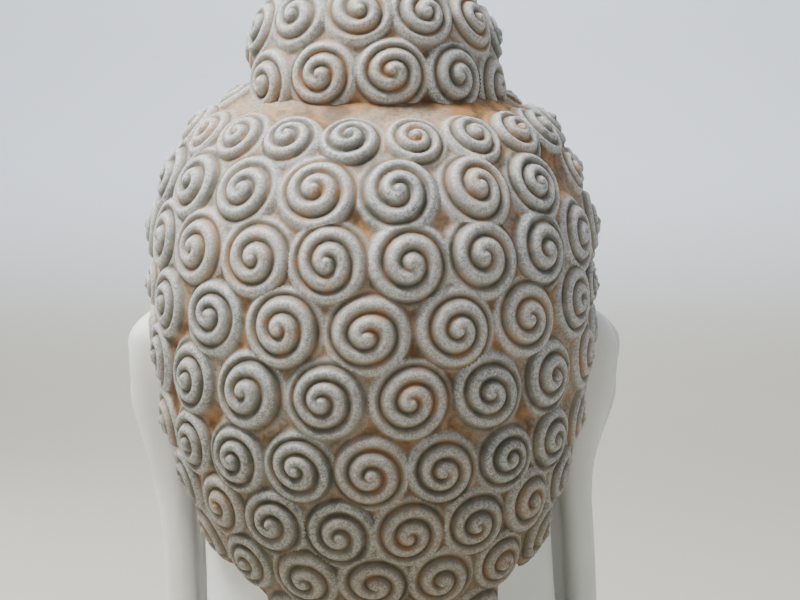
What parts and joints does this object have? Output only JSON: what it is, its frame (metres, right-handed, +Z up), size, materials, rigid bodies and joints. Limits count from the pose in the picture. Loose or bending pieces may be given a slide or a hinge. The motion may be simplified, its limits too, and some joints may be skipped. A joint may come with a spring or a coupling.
{
  "type": "buddha_head_bust",
  "caption": "Decorative cast ceramic Buddha head with snail-shell curls, a topknot, long ears and a short neck cut flat to stand by itself.",
  "frame": {"origin": "middle of the underside, in the middle of the part's width and depth", "axes": "+Z up out of the topknot; the face looks along -Y; +X is the head's own left"},
  "size_m": [0.2286, 0.2354, 0.371],
  "materials": {
    "painted_ceramic": "matt white skin, the curls dry-brushed silver grey over orange brown"
  },
  "bodies": {
    "root": {"buddha_head": "painted_ceramic"}
  },
  "joints": []
}
